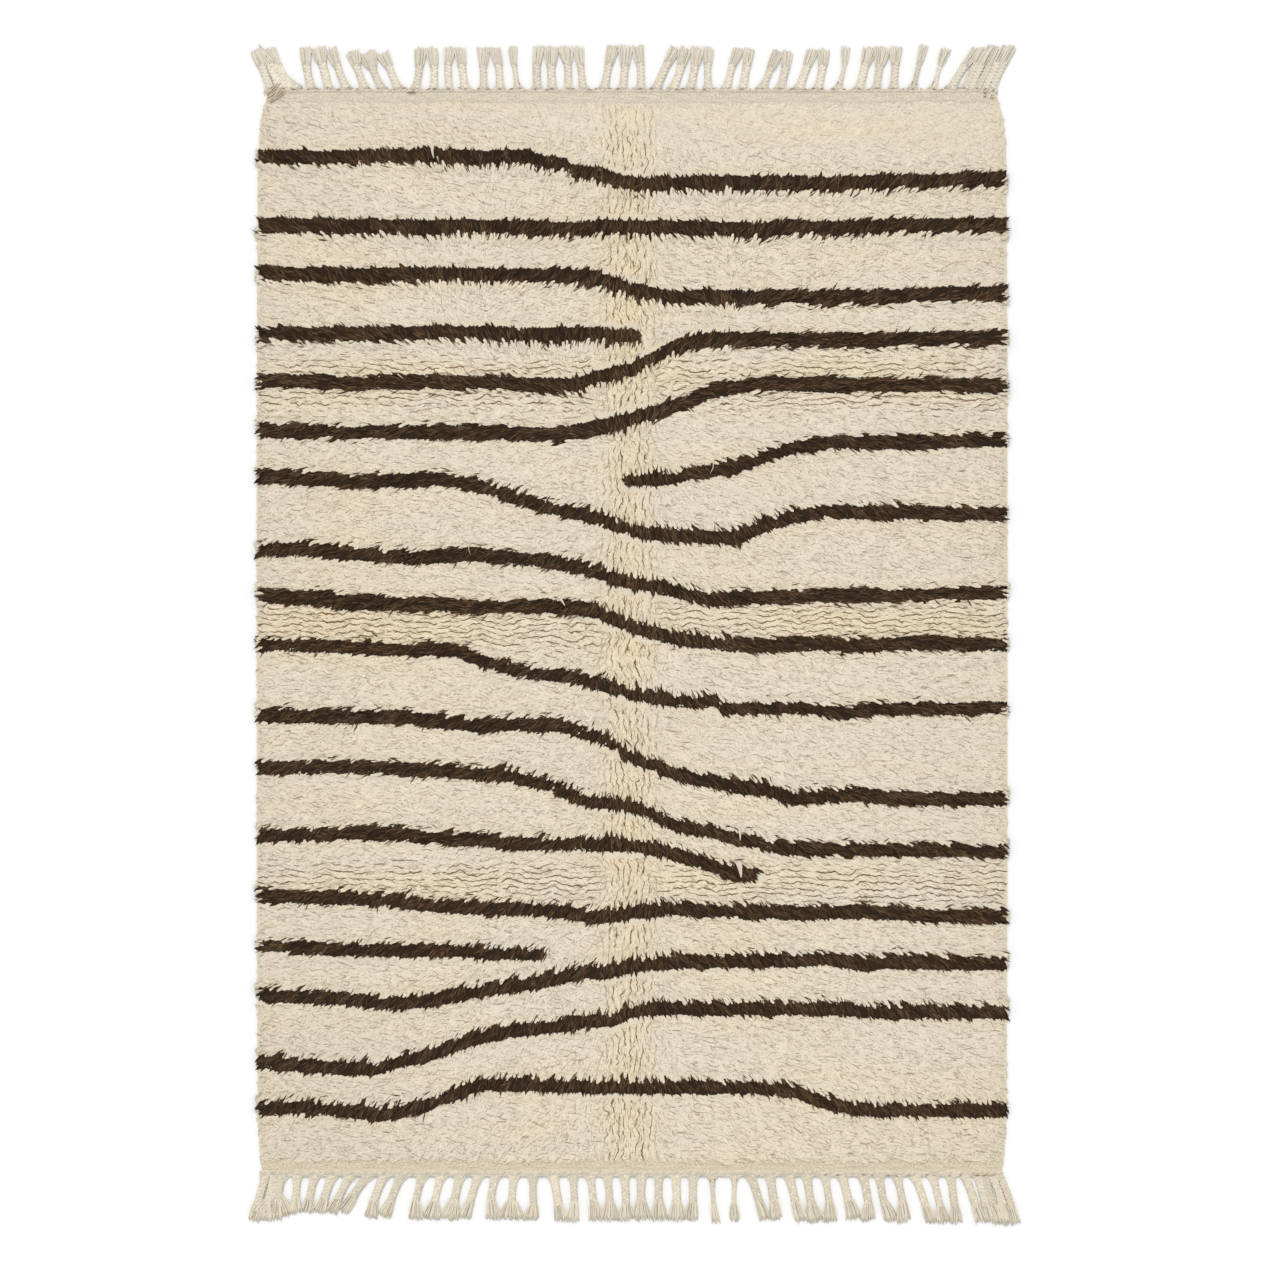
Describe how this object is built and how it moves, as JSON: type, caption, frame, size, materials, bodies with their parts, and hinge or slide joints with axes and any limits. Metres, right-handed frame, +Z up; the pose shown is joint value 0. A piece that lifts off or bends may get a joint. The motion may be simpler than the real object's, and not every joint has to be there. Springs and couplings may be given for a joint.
{
  "type": "beni ourain rug",
  "caption": "Rectangular deep-pile wool floor rug in cream with wavering dark brown lines across it, flat-woven ends and a plaited, tufted fringe at both ends.",
  "frame": {"origin": "on the floor, under the middle of the box around the whole rug with its two fringes", "axes": "+X across the rug, +Y along it towards the top fringe as pictured, +Z up from the floor through the pile"},
  "size_m": [1.6344, 2.5064, 0.0252],
  "materials": {
    "pile_wool": "matt long-pile undyed wool, cream with dark brown lines, on a flat-woven ground",
    "fringe_wool": "matt twisted and plaited warp wool, greyish beige"
  },
  "bodies": {
    "root": {"pile_rug": "pile_wool", "fringe_top": "fringe_wool", "fringe_bottom": "fringe_wool"}
  },
  "joints": []
}
